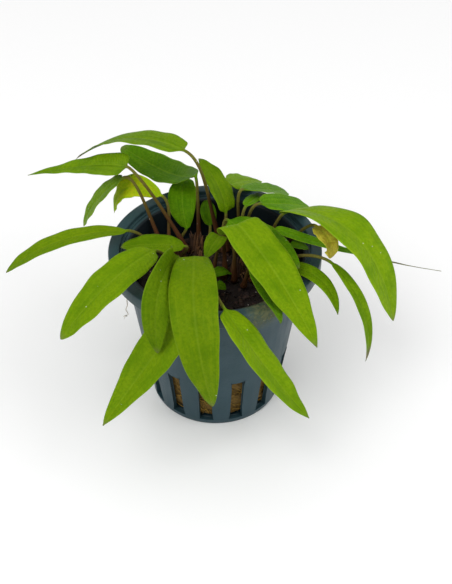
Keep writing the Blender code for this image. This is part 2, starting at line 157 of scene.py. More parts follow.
# One leaf a row: where the stalk leaves the crown, the joint of stalk and blade,
# the blade's middle and its tip, all in millimetres, and its greatest width.
# belly is where along the blade it is widest, lean rolls the blade about its
# length, twist rolls the tip on from the base, arch lifts the stalk, lead is how
# far before the joint the blade starts to open, wave is how far the margin
# ripples as a share of the width, tail is where a drawn-out tip starts, dry is
# where the tip turns brown, and shade makes one leaf lighter or darker than its tone.
# The shade factor is partly each leaf's own tone and partly painted light and shade, set to how lit
# or shadowed each leaf looks.
LEAVES = [
    dict(name="leaf_top_arch", tone="green", foot=(1, 15.5), joint=(-8, 13, 70),
         middle=(-18, 22, 67.5), tip=(-40, 37.5, 50.5), width=9.5, belly=0.26, lean=5, dry=0.86),
    dict(name="leaf_top_broad", tone="shaded", foot=(-4.5, 15), joint=(-5.5, 14, 61.5),
         middle=(-11.5, 27, 52.5), tip=(-27.5, 45.5, 49.5), width=9.5, belly=0.56, lean=-15,
         arch=-0.05, lead=2),
    dict(name="leaf_upper_left", tone="green", foot=(-7.5, 10), joint=(-23.5, 16.5, 62.5),
         middle=(-38.5, 31, 52.5), tip=(-53.5, 34, 47.5), width=8, belly=0.26, lean=-15, twist=20,
         arch=0.1, shade=1.08),
    dict(name="leaf_left_hanging", tone="green", foot=(-14, 10.5), joint=(-25, 19, 57),
         middle=(-34.5, 23.5, 44), tip=(-38, 26.5, 35), width=8, belly=0.38, lean=-30, twist=-30),
    dict(name="leaf_yellowing", tone="yellow", foot=(-12.5, 8.5), joint=(-14.5, 16.5, 53),
         middle=(-24.5, 22.5, 51.5), tip=(-28.5, 23.5, 42), width=6.5, belly=0.5, lean=-50,
         twist=30, arch=0.13, wave=0.09, shade=1.25),
    dict(name="leaf_rising_oval", tone="shaded", foot=(-11.5, 11.5), joint=(-8, 15, 44),
         middle=(-9, 18.5, 48), tip=(-8.5, 28, 50.5), width=8, belly=0.56, lean=-10, lead=1,
         shade=1.3),
    dict(name="leaf_rear_rising", tone="green", foot=(3, 10.5), joint=(2.5, 11.5, 53.5),
         middle=(0.5, 17, 56.5), tip=(-4.5, 22.5, 61), width=8.5, belly=0.36, lean=20, twist=-20,
         arch=0.06, lead=2, shade=0.9),
    dict(name="leaf_rear_right_a", tone="green", foot=(2.5, 15.5), joint=(4, 20, 54),
         middle=(7.5, 28, 49.5), tip=(13, 37.5, 43), width=7.5, belly=0.38, lean=15, twist=-20,
         arch=0.12, shade=1.2),
    dict(name="leaf_rear_right_b", tone="shaded", foot=(6.5, 14), joint=(7.5, 12.5, 58),
         middle=(14.5, 22, 51), tip=(20.5, 34, 41.5), width=7.5, lean=10, twist=30, shade=1.2),
    dict(name="leaf_right_short", tone="shaded", foot=(6, 9.5), joint=(8.5, 8.5, 56),
         middle=(12, 17, 52.5), tip=(13.5, 22, 49.5), width=4.5, belly=0.38, twist=20, arch=0.07,
         lead=1, shade=1.3),
    dict(name="leaf_right_upper", tone="shaded", foot=(7, 12), joint=(12, 7.5, 57),
         middle=(20.5, 14.5, 51.5), tip=(26.5, 23, 44), width=8.5, belly=0.36, lean=15, twist=10,
         arch=0.1, shade=1.3),
    dict(name="leaf_right_large", tone="bright", foot=(12.5, 7.5), joint=(20, 2.5, 58.5),
         middle=(29.5, -4.5, 61), tip=(46.5, -14, 35), width=15.5, belly=0.36, lean=-10, twist=30,
         arch=0.12, lead=3, shade=1.2),
    dict(name="leaf_right_narrow", tone="shaded", foot=(10, 6), joint=(17.5, 1.5, 52.5),
         middle=(35.5, -3.5, 49.5), tip=(59, -5, 44.5), width=4, belly=0.26, lean=-10, twist=-20,
         arch=0.05, lead=4, tail=0.62, dry=0.58, shade=1.7),
    dict(name="leaf_withered", tone="withered", foot=(16, 7), joint=(26, -1.5, 56.5),
         middle=(29, -8.5, 57), tip=(30, -6.5, 50), width=5, arch=0.1, wave=0.16, shade=1.5),
    dict(name="leaf_right_low", tone="green", foot=(9.5, -2), joint=(20, -10, 50),
         middle=(28.5, -16, 48), tip=(31, -21, 43.5), width=4.5, belly=0.38, lean=5, lead=4,
         shade=1.08),
    dict(name="leaf_right_long", tone="green", foot=(9.5, 0), joint=(30.5, -14.5, 53.5),
         middle=(36.5, -22, 47.5), tip=(38.5, -25.5, 31.5), width=4, belly=0.42, lean=-15,
         twist=-10, arch=0.2, lead=2, dry=0.84),
    dict(name="leaf_front_right_large", tone="bright", foot=(5, -2.5), joint=(7, -10, 62),
         middle=(14, -17.5, 56), tip=(25, -33.5, 44), width=13, belly=0.3, twist=20, arch=0.15,
         lead=7, shade=1.06),
    dict(name="leaf_front_right_low", tone="bright", foot=(-2.5, 1), joint=(2.5, -29, 52.5),
         middle=(11.5, -37.5, 43), tip=(23.5, -41, 27), width=11.5, belly=0.26, lean=-10,
         twist=20, arch=0.07, shade=1.14),
    dict(name="leaf_front_centre", tone="bright", foot=(-8, -2.5), joint=(-5, -14.5, 56),
         middle=(-4.5, -33.5, 53), tip=(-0.5, -41, 31), width=12, lean=15, twist=40, arch=-0.01,
         lead=4, shade=0.81),
    dict(name="leaf_front_left_shaded", tone="green", foot=(-8.5, 3.5), joint=(-10.5, -15, 56),
         middle=(-13.5, -28, 56), tip=(-14, -32.5, 41), width=8.5, belly=0.42, lean=-35,
         twist=100, lead=8, shade=0.76),
    dict(name="leaf_front_left_low", tone="bright", foot=(-4.5, -1), joint=(-7, -28.5, 51),
         middle=(-17.5, -33, 36), tip=(-27.5, -43, 26.5), width=12, belly=0.3, lean=-10, lead=1,
         shade=0.95),
    dict(name="leaf_left_large", tone="bright", foot=(-11, 2.5), joint=(-16.5, -11.5, 55.5),
         middle=(-24.5, -21.5, 55.5), tip=(-38, -29, 42.5), width=10, belly=0.44, lean=-5,
         twist=10, lead=3),
    dict(name="leaf_left_inner", tone="green", foot=(-11, 4.5), joint=(-8, 1.5, 47.5),
         middle=(-15, 1, 48.5), tip=(-24.5, -1.5, 49.5), width=8, belly=0.42, shade=0.9),
    dict(name="leaf_left_long", tone="bright", foot=(-13, 7.5), joint=(-23, 3, 51.5),
         middle=(-39, -2, 52.5), tip=(-55.5, -1.5, 41), width=6, lean=-5, twist=-20, arch=0.04,
         shade=0.89),
    dict(name="leaf_under_front_right", tone="shaded", foot=(2.5, 1.5), joint=(3.5, 5.5, 53),
         middle=(12.5, -4.5, 53.5), tip=(21, -15.5, 54), width=10.5, lean=5, twist=-10, arch=0.09,
         shade=1.1),
    dict(name="leaf_drooping_dark", tone="shaded", foot=(7.5, -4.5), joint=(10.5, -12, 52.5),
         middle=(15, -27, 50), tip=(16, -32, 50.5), width=6, lean=-20, twist=-60, lead=3),
    dict(name="leaf_small_oval", tone="green", foot=(-0.5, 1.5), joint=(1, 2.5, 50),
         middle=(-0.5, -1, 50), tip=(-2.5, -4, 48), width=5.5, arch=0.07, lead=3, shade=0.8),
    dict(name="leaf_sprout_a", tone="shaded", foot=(2.5, -1), joint=(-0.5, -3.5, 41.5),
         middle=(2, -1.5, 41.5), tip=(4.5, 0, 39), width=4, arch=0.1, shade=1.1),
    dict(name="leaf_sprout_b", tone="shaded", foot=(-2, -2.5), joint=(0, -7.5, 41.5),
         middle=(1.5, -7.5, 41.5), tip=(3, -7.5, 40.5), width=3.5, arch=0.1, shade=1.25),
    dict(name="leaf_rear_small", tone="shaded", foot=(-2.5, 10), joint=(-1.5, 15, 44),
         middle=(-2, 18, 46), tip=(-2.5, 23, 47), width=4.5, lean=5, twist=-20, arch=-0.01,
         shade=0.9),
    dict(name="leaf_right_inner", tone="shaded", foot=(13, 5.5), joint=(19.5, -1.5, 50.5),
         middle=(22.5, -1.5, 50), tip=(24.5, -1.5, 49), width=4, lean=-5, arch=0.1, shade=1.25),
]
LEAF_DEFAULTS = dict(belly=0.4, lean=0.0, twist=0.0, arch=0.08, lead=0.0, wave=0.022, tail=0.0,
                     shade=1.0, dry=0.975)

# Each tone: main colour, lighter patches, darker patches, roughness
# The first tone is leaf green with painted light, for leaves that face the light, and the third is
# leaf green with painted shade, for leaves that lie in shadow.
TONES = {
    "bright": ((0.138, 0.248, 0.002), (0.185, 0.290, 0.003), (0.088, 0.185, 0.001), 0.50),
    "green": ((0.122, 0.232, 0.002), (0.165, 0.280, 0.003), (0.070, 0.160, 0.001), 0.50),
    "shaded": ((0.074, 0.188, 0.002), (0.110, 0.235, 0.003), (0.040, 0.120, 0.001), 0.50),
    "yellow": ((0.340, 0.470, 0.006), (0.520, 0.470, 0.012), (0.190, 0.340, 0.003), 0.52),
    "withered": ((0.360, 0.330, 0.025), (0.480, 0.400, 0.050), (0.210, 0.110, 0.015), 0.65),
}

# Other colours of the plant, the pot and the medium
STALK_LOW = (0.098, 0.040, 0.016)
STALK_HIGH = (0.155, 0.165, 0.028)
DRY = (0.150, 0.120, 0.070)
UNDERSIDE = (0.150, 0.230, 0.025)
VEIN_PALE = (0.300, 0.430, 0.030)
LEAF_DUST_AND_GLINT = (0.75, 0.80, 0.70)
POT_DARK = (0.015, 0.044, 0.057)
POT_LIGHT = (0.025, 0.057, 0.072)
POT_STREAK = (0.038, 0.068, 0.080)
POT_LOW = (0.017, 0.045, 0.058)
POT_FILM = (0.026, 0.058, 0.064)
POT_INSIDE_SHADE = (0.007, 0.011, 0.014)
POT_STAIN = (0.060, 0.088, 0.036)
POT_DUST = (0.20, 0.23, 0.23)
CRUST = (0.135, 0.140, 0.066)
CRUST_PALE = (0.24, 0.24, 0.18)
WOOL_DARK = (0.062, 0.034, 0.007)
WOOL_LIGHT = (0.32, 0.190, 0.024)
SOIL_DARK = (0.010, 0.005, 0.004)
SOIL_LIGHT = (0.060, 0.028, 0.018)
SOIL_PALE = (0.46, 0.42, 0.36)
CROWN_DARK = (0.036, 0.015, 0.007)
CROWN_LIGHT = (0.150, 0.068, 0.021)
ROOT_DARK = (0.10, 0.08, 0.06)
ROOT_LIGHT = (0.70, 0.66, 0.58)

# How pale the veins and the margin are, from the midrib at 0 to the margin at 1
VEIN_STOPS = (
    (0.0, 0.32), (0.045, 0.14), (0.08, 0.0), (0.33, 0.0), (0.36, 0.12), (0.39, 0.0),
    (0.68, 0.0), (0.70, 0.10), (0.73, 0.0), (0.94, 0.0), (0.985, 0.55))

# Where the pot's colours fade in, as heights: the rim's film, the crust under the rim and
# the painted shade inside. The crust's two edges are angles from the front, in radians.
FILM_RISE = (43.5, 45.5)
PATCH_LEFT = (0.24, 0.44)
PATCH_RIGHT = (0.86, 0.62)
PATCH_RISE = (36.0, 42.5)
INSIDE_SHADE_RISE = (33.0, 37.0)
INSIDE_SHADE_BLEND = 0.2

# The hair-thin root that hangs from under the rim
ROOT_SEED = 5
ROOT_POINTS = [
    (-22.0, -13.4, 46.8),
    (-22.6, -14.2, 44.0),
    (-22.4, -14.6, 41.6),
    (-22.9, -14.4, 39.2),
    (-22.4, -14.0, 37.2),
    (-23.8, -13.8, 36.4),
]
ROOT_RADII = (0.17, 0.10)
TWIGS = 5
TWIG_RADII = (0.11, 0.05)

# Camera: the photograph's own view, its elevation in degrees
CAMERA_TARGET = (2.86, 0.0, 32.9)
CAMERA_DISTANCE = 320.0
CAMERA_ELEVATION = 40.71
CAMERA_LENS = 72.95

# Stage and lights, in metres and watts
FLOOR_SIZE = 3.0
FLOOR_WHITE = 0.97
SKY_STRENGTH = 0.70
LIGHT_AIM = (0.0, 0.0, 0.03)
LIGHTS = (
    dict(name="key", location=(-0.35, -0.45, 0.75), size=0.6, power=3.6),
    dict(name="fill", location=(0.55, -0.25, 0.55), size=0.5, power=1.35),
)


def smooth(x, low, high):
    """Rises from 0 at low to 1 at high with no corner."""
    x = np.clip((np.asarray(x, float) - low) / (high - low), 0, 1)
    return x * x * (3 - 2 * x)


def hills(x, rng, waves, lowest=1.0, highest=4.0):
    """A smooth random line from -1 to 1 over x from 0 to 1."""
    total = np.zeros_like(x)
    for _ in range(waves):
        total += np.sin(2 * math.pi * (rng.uniform(lowest, highest) * x + rng.uniform()))
    return total / waves


# Node helpers. A value given as a socket is linked, and a plain one is set.

def put(tree, socket, value):
    if isinstance(value, bpy.types.NodeSocket):
        tree.links.new(value, socket)
    elif isinstance(value, tuple) and len(value) == 3 and socket.type == "RGBA":
        socket.default_value = (*value, 1.0)
    else:
        socket.default_value = value


def maths(tree, operation, first, second=0.0, third=0.0):
    node = tree.nodes.new("ShaderNodeMath")
    node.operation = operation
    for socket, value in zip(node.inputs, (first, second, third)):
        put(tree, socket, value)
    return node.outputs[0]


def times(tree, first, second):
    return maths(tree, "MULTIPLY", first, second)


def mixed(tree, factor, first, second):
    node = tree.nodes.new("ShaderNodeMix")
    node.data_type = "RGBA"
    put(tree, node.inputs[0], factor)
    put(tree, node.inputs[6], first)
    put(tree, node.inputs[7], second)
    return node.outputs[2]


def scaled(tree, vector, factor):
    node = tree.nodes.new("ShaderNodeVectorMath")
    node.operation = "SCALE"
    tree.links.new(vector, node.inputs[0])
    put(tree, node.inputs["Scale"], factor)
    return node.outputs[0]


def added(tree, first, second):
    node = tree.nodes.new("ShaderNodeVectorMath")
    put(tree, node.inputs[0], first)
    put(tree, node.inputs[1], second)
    return node.outputs[0]


def ramp(tree, value, stops):
    """A number that follows (position, height) stops."""
    node = tree.nodes.new("ShaderNodeValToRGB")
    elements = node.color_ramp.elements
    while len(elements) < len(stops):
        elements.new(0.5)
    for element, (position, height) in zip(elements, stops):
        element.position = position
        element.color = (height, height, height, 1.0)
    put(tree, node.inputs[0], value)
    return node.outputs[0]


def remap(tree, value, low, high, to_low=0.0, to_high=1.0):
    node = tree.nodes.new("ShaderNodeMapRange")
    node.interpolation_type = "SMOOTHSTEP"
    for socket, given in zip(node.inputs, (value, low, high, to_low, to_high)):
        put(tree, socket, given)
    return node.outputs[0]


def place_of(tree):
    """The point on the surface, in millimetres."""
    coordinates = tree.nodes.new("ShaderNodeTexCoord")
    return scaled(tree, coordinates.outputs["Object"], 1 / MM)


def stretched(tree, place, scale):
    node = tree.nodes.new("ShaderNodeVectorMath")
    node.operation = "MULTIPLY"
    tree.links.new(place, node.inputs[0])
    node.inputs[1].default_value = scale
    return node.outputs[0]


def noise(tree, place, size, detail=3.0, roughness=0.55):
    """Noise from 0 to 1 whose blotches are about size millimetres."""
    node = tree.nodes.new("ShaderNodeTexNoise")
    tree.links.new(place, node.inputs["Vector"])
    node.inputs["Scale"].default_value = 1 / size
    node.inputs["Detail"].default_value = detail
    node.inputs["Roughness"].default_value = roughness
    return node.outputs[0]


def specks(tree, place, spacing, reach, share):
    """1 on small dots, one to a share of the cells of a random lattice."""
    node = tree.nodes.new("ShaderNodeTexVoronoi")
    tree.links.new(place, node.inputs["Vector"])
    node.inputs["Scale"].default_value = 1 / spacing
    near = maths(tree, "LESS_THAN", node.outputs["Distance"], reach)
    split = tree.nodes.new("ShaderNodeSeparateColor")
    tree.links.new(node.outputs["Color"], split.inputs[0])
    chosen = maths(tree, "LESS_THAN", split.outputs[0], share)
    return times(tree, near, chosen)


def attribute(tree, name):
    node = tree.nodes.new("ShaderNodeAttribute")
    node.attribute_name = name
    return node


def split_vector(tree, vector):
    node = tree.nodes.new("ShaderNodeSeparateXYZ")
    tree.links.new(vector, node.inputs[0])
    return node.outputs


def bump(tree, shader, height, depth):
    """Bump whose full height is depth millimetres."""
    node = tree.nodes.new("ShaderNodeBump")
    node.inputs["Distance"].default_value = depth * MM
    tree.links.new(height, node.inputs["Height"])
    tree.links.new(node.outputs[0], shader.inputs["Normal"])


def new_material(name):
    material = bpy.data.materials.new(name)
    material.use_nodes = True
    return material, material.node_tree, material.node_tree.nodes["Principled BSDF"]


def leaf_material(tone):
    """A blade of one tone with veins, blotches and streaks, and its stalk in brown and olive."""
    main, light, dark, roughness = TONES[tone]
    material, tree, shader = new_material("leaf_" + tone)
    place = place_of(tree)
    leaf_spot = attribute(tree, "leaf_place").outputs["Vector"]
    along, across, face = split_vector(tree, leaf_spot)
    tint = attribute(tree, "leaf_tint").outputs["Fac"]
    shade = attribute(tree, "leaf_shade").outputs["Fac"]
    dryness = attribute(tree, "leaf_dryness").outputs["Fac"]
    edge = maths(tree, "ABSOLUTE", across)
    blotches = noise(tree, place, 5.0, 4.0)
    mottle = noise(tree, place, 0.7, 4.0, 0.65)
    drawn_out = stretched(tree, leaf_spot, (1.8, 5.0, 0.0))
    streaks = noise(tree, added(tree, drawn_out, scaled(tree, place, 0.06)), 1.0, 3.0)
    colour = mixed(tree, remap(tree, blotches, 0.38, 0.70, 0.0, 0.55), main, light)
    shadows = maths(tree, "ADD", blotches, tint)
    colour = mixed(tree, remap(tree, shadows, 0.50, 0.26, 0.0, 0.55), colour, dark)
    colour = mixed(tree, remap(tree, streaks, 0.50, 0.66, 0.0, 0.45), colour, light)
    colour = mixed(tree, remap(tree, streaks, 0.48, 0.34, 0.0, 0.35), colour, dark)
    colour = mixed(tree, remap(tree, mottle, 0.42, 0.62, 0.0, 0.42), colour, dark)
    veins = ramp(tree, edge, VEIN_STOPS)
    colour = mixed(tree, times(tree, veins, 0.6), colour, VEIN_PALE)
    below = remap(tree, face, 0.2, -0.2, 0.0, 0.45)
    colour = mixed(tree, below, colour, UNDERSIDE)
    stalk = mixed(tree, remap(tree, along, -0.80, 0.0), STALK_LOW, STALK_HIGH)
    stalk = mixed(tree, remap(tree, mottle, 0.3, 0.7, 0.0, 0.4), stalk, STALK_LOW)
    # Painted light and shade, with the leaf's own tone: each leaf's colour scaled by its shade
    # factor.
    colour = scaled(tree, colour, shade)
    colour = mixed(tree, dryness, colour, DRY)
    colour = mixed(tree, remap(tree, along, 0.03, -0.06), colour, stalk)
    # White specks: dust, and painted glints where water drops catch the light.
    dust = specks(tree, place, 2.6, 0.055, 0.35)
    colour = mixed(tree, times(tree, dust, 0.6), colour, LEAF_DUST_AND_GLINT)
    put(tree, shader.inputs["Base Color"], colour)
    put(tree, shader.inputs["Roughness"],
        remap(tree, mottle, 0.3, 0.7, roughness - 0.06, roughness + 0.10))
    shader.inputs["Specular IOR Level"].default_value = 0.03
    shader.inputs["Subsurface Weight"].default_value = 0.12
    shader.inputs["Subsurface Radius"].default_value = (0.5, 1.0, 0.15)
    shader.inputs["Subsurface Scale"].default_value = 0.5 * MM
    slant = maths(tree, "MULTIPLY_ADD", edge, -16.0, times(tree, along, 190.0))
    cross = maths(tree, "SINE", slant)
    relief = maths(tree, "MULTIPLY_ADD", cross, 0.14, mottle)
    bump(tree, shader, relief, 0.13)
    return material


def pot_material():
    """Blue-grey moulding, darker and greener at the rim, with a dried crust at the front and
    painted shade on its inside.
    """
    material, tree, shader = new_material("pot_plastic")
    place = place_of(tree)
    x, y, z = split_vector(tree, place)
    radius = maths(tree, "SQRT", maths(tree, "ADD", times(tree, x, x), times(tree, y, y)))
    cloud = noise(tree, place, 9.0, 4.0)
    streaks = noise(tree, stretched(tree, place, (1.0, 1.0, 0.12)), 1.6, 4.0)
    grain = noise(tree, place, 0.45, 2.0)
    colour = mixed(tree, remap(tree, cloud, 0.3, 0.7), POT_DARK, POT_LIGHT)
    colour = mixed(tree, remap(tree, streaks, 0.5, 0.75, 0.0, 0.35), colour, POT_STREAK)
    colour = mixed(tree, remap(tree, z, 26.0, 2.0, 0.0, 0.30), colour, POT_LOW)
    film = times(tree, remap(tree, z, *FILM_RISE), remap(tree, cloud, 0.25, 0.6, 0.45, 0.95))
    colour = mixed(tree, film, colour, POT_FILM)
    # Painted shade: the inside face of the wall above the medium is darkened to near-black navy.
    upright = maths(tree, "MULTIPLY_ADD", z, -WALL_SLOPE, radius)
    mid_wall = BASE_RADIUS - WALL_THICKNESS / 2
    shade_within_wall = remap(tree, upright, mid_wall + INSIDE_SHADE_BLEND, mid_wall - INSIDE_SHADE_BLEND)
    inside_shade = times(tree, shade_within_wall, remap(tree, z, *INSIDE_SHADE_RISE))
    colour = mixed(tree, times(tree, inside_shade, 0.95), colour, POT_INSIDE_SHADE)
    around = maths(tree, "ARCTAN2", x, times(tree, y, -1.0))
    patch = times(tree, remap(tree, around, *PATCH_LEFT), remap(tree, around, *PATCH_RIGHT))
    patch = times(tree, patch, maths(tree, "LESS_THAN", y, 0.0))
    patch = times(tree, patch, remap(tree, z, *PATCH_RISE))
    colour = mixed(tree, times(tree, patch, 0.7), colour, POT_STAIN)
    crumbled = noise(tree, place, 1.1, 5.0, 0.7)
    crust = times(tree, patch, remap(tree, crumbled, 0.40, 0.58))
    colour = mixed(tree, times(tree, crust, 0.8), colour, CRUST)
    pale = times(tree, patch, specks(tree, place, 1.0, 0.16, 0.5))
    colour = mixed(tree, times(tree, pale, 0.7), colour, CRUST_PALE)
    dust = specks(tree, place, 3.2, 0.05, 0.3)
    colour = mixed(tree, times(tree, dust, 0.5), colour, POT_DUST)
    put(tree, shader.inputs["Base Color"], colour)
    put(tree, shader.inputs["Roughness"],
        remap(tree, maths(tree, "ADD", streaks, crust), 0.3, 1.2, 0.38, 0.72))
    shader.inputs["Specular IOR Level"].default_value = 0.25
    relief = maths(tree, "MULTIPLY_ADD", crust, 2.5, grain)
    bump(tree, shader, relief, 0.04)
    return material


def strand_material(name, dark, light, roughness, size, depth):
    """Fibre or rootstock: colour from a random tint on each strand, and a fine grain."""
    material, tree, shader = new_material(name)
    place = place_of(tree)
    tint = attribute(tree, "tint").outputs["Fac"]
    grain = noise(tree, place, size, 5.0, 0.65)
    colour = mixed(tree, remap(tree, maths(tree, "ADD", tint, grain), 0.45, 1.45), dark, light)
    put(tree, shader.inputs["Base Color"], colour)
    put(tree, shader.inputs["Roughness"], remap(tree, grain, 0.3, 0.7, roughness - 0.1, roughness))
    bump(tree, shader, grain, depth)
    return material


def soil_material():
    """Dark damp crumbs, the few of highest tint pale."""
    material, tree, shader = new_material("damp_soil")
    place = place_of(tree)
    tint = attribute(tree, "tint").outputs["Fac"]
    grain = noise(tree, place, 0.5, 5.0, 0.7)
    lightness = remap(tree, maths(tree, "ADD", tint, grain), 0.5, 1.4)
    colour = mixed(tree, lightness, SOIL_DARK, SOIL_LIGHT)
    colour = mixed(tree, remap(tree, tint, 0.955, 0.975), colour, SOIL_PALE)
    put(tree, shader.inputs["Base Color"], colour)
    put(tree, shader.inputs["Roughness"], remap(tree, grain, 0.3, 0.7, 0.55, 0.95))
    bump(tree, shader, grain, 0.15)
    return material


# Mesh helpers, in millimetres

def add_mesh(name, points, faces, material, **values):
    """A smooth mesh with point attributes given as arrays of one or three numbers a point."""
    mesh = bpy.data.meshes.new(name)
    mesh.from_pydata((np.asarray(points, float) * MM).tolist(), [], faces)
    mesh.shade_smooth()
    for key, value in values.items():
        value = np.asarray(value, np.float32)
        kind, slot = ("FLOAT", "value") if value.ndim == 1 else ("FLOAT_VECTOR", "vector")
        made = mesh.attributes.new(key, kind, "POINT")
        made.data.foreach_set(slot, value.ravel())
    mesh.materials.append(material)
    obj = bpy.data.objects.new(name, mesh)
    bpy.context.scene.collection.objects.link(obj)
    return obj


def dress(obj, node):
    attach(obj, "root")
    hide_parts(node)


def skin_faces(stations, around):
    """Faces of a closed tube over rings of points, with both ends capped."""
    faces = []
    for i in range(stations - 1):
        here = i * around
        for j in range(around):
            k = (j + 1) % around
            faces.append((here + j, here + k, here + around + k, here + around + j))
    faces.append(tuple(reversed(range(around))))
    faces.append(tuple(range((stations - 1) * around, stations * around)))
    return faces


def tube(path, radii, sides):
    """A closed tube along a path, with one radius for each point."""
    path = np.asarray(path, float)
    along = np.gradient(path, axis=0)
    along /= np.linalg.norm(along, axis=1)[:, None]
    side = np.zeros_like(path)
    guide = UP if abs(along[0][2]) < 0.8 else np.array((1.0, 0.0, 0.0))
    for i, direction in enumerate(along):
        guide = guide - (guide @ direction) * direction
        guide = guide / np.linalg.norm(guide)
        side[i] = guide
    up = np.cross(along, side)
    turn = -2 * math.pi * np.arange(sides) / sides
    rings = side[:, None] * np.cos(turn)[:, None] + up[:, None] * np.sin(turn)[:, None]
    rings = path[:, None] + rings * np.asarray(radii, float)[:, None, None]
    return rings.reshape(-1, 3), skin_faces(len(path), sides)


def joined(parts):
    """Several (points, faces, tint) as one, tint being one number for each part or point."""
    points, faces, tints, start = [], [], [], 0
    for part_points, part_faces, tint in parts:
        points.append(part_points)
        faces.extend([tuple(c + start for c in face) for face in part_faces])
        tints.append(np.broadcast_to(tint, len(part_points)))
        start += len(part_points)
    return np.concatenate(points), faces, np.concatenate(tints)


def turned(radii, heights, sides, lumps=None):
    """A turned solid from its top centre, down its outside, to its bottom centre.

    lumps, if given, is a function from angle and height to a change of radius."""
    angle = 2 * math.pi * np.arange(sides) / sides
    rows = []
    for radius, height in zip(radii, heights):
        reach = radius + (lumps(angle, height) if lumps else 0.0)
        rows.append(np.stack([reach * np.cos(angle), reach * np.sin(angle),
                              np.full(sides, height)], axis=1))
    faces = []
    for i in range(len(rows) - 1):
        for j in range(sides):
            k = (j + 1) % sides
            faces.append((i * sides + j, (i + 1) * sides + j, (i + 1) * sides + k, i * sides + k))
    faces.append(tuple(range(sides)))
    faces.append(tuple(reversed(range((len(rows) - 1) * sides, len(rows) * sides))))
    return np.concatenate(rows), faces


# Pot

def wall_radius(height):
    """The outside radius of the wall."""
    share = height / (POT_HEIGHT - RIM_THICKNESS)
    return BASE_RADIUS + (WALL_TOP_RADIUS - BASE_RADIUS) * share


def inner_radius(height):
    return wall_radius(height) - WALL_THICKNESS


def rounded(corner, before, after, size):
    """Three points that round a profile's corner."""
    corner, before, after = (np.array(p, float) for p in (corner, before, after))
    first = corner + (before - corner) / np.linalg.norm(before - corner) * size
    last = corner + (after - corner) / np.linalg.norm(after - corner) * size
    return [tuple(first), tuple(0.25 * first + 0.5 * corner + 0.25 * last), tuple(last)]


def pot_rows():
    """The pot's section as (radius, height), from mid-floor over the rim to the underside."""
    slot_heights = list(np.linspace(SLOT_LOW, SLOT_HIGH, SLOT_RINGS))
    shoulder = POT_HEIGHT - SHOULDER_DROP
    under_rim = POT_HEIGHT - RIM_THICKNESS
    skirt_foot = POT_HEIGHT - SKIRT_DEPTH
    skirt_inner = RIM_RADIUS - SKIRT_THICKNESS
    top_inner = INNER_RINGS[-1]
    top_outer = OUTER_RINGS[0]
    rows = [(radius, FLOOR_THICKNESS) for radius in FLOOR_RINGS]
    rows.append((inner_radius(FLOOR_THICKNESS), FLOOR_THICKNESS))
    first_inner = len(rows)
    rows += [(inner_radius(h), h) for h in slot_heights]
    rows += [(inner_radius(h), h) for h in INNER_RINGS]
    corners = [(inner_radius(top_inner), top_inner), (inner_radius(shoulder), shoulder),
               (RIM_INNER_RADIUS, shoulder + LIP_RISE), (RIM_INNER_RADIUS, POT_HEIGHT),
               (RIM_RADIUS, POT_HEIGHT), (RIM_RADIUS, skirt_foot),
               (skirt_inner, skirt_foot), (skirt_inner, under_rim),
               (wall_radius(under_rim), under_rim), (wall_radius(top_outer), top_outer)]
    for before, corner, after, size in zip(corners, corners[1:], corners[2:], CORNER_SIZES):
        rows += rounded(corner, before, after, size)
    rows += [(wall_radius(h), h) for h in OUTER_RINGS]
    first_outer = len(rows)
    rows += [(wall_radius(h), h) for h in reversed(slot_heights)]
    rows += rounded((BASE_RADIUS, 0.0), (wall_radius(SLOT_LOW), SLOT_LOW), (0.0, 0.0), FOOT_CHAMFER)
    rows += [(radius, 0.0) for radius in reversed(FLOOR_RINGS)]
    return rows, first_inner, first_outer


def pot_columns(radius):
    """The angles of a row's points within one slot and the bar beside it."""
    cut = min(max(radius, BASE_RADIUS - 2 * WALL_THICKNESS), wall_radius(SLOT_HIGH))
    half = math.asin(SLOT_WIDTH / 2 / cut)
    bar = 2 * math.pi / SLOT_COUNT - 2 * half
    return [half * c for c in SLOT_COLUMNS] + [half + bar * step / BAR_COLUMNS
                                               for step in range(1, BAR_COLUMNS)]


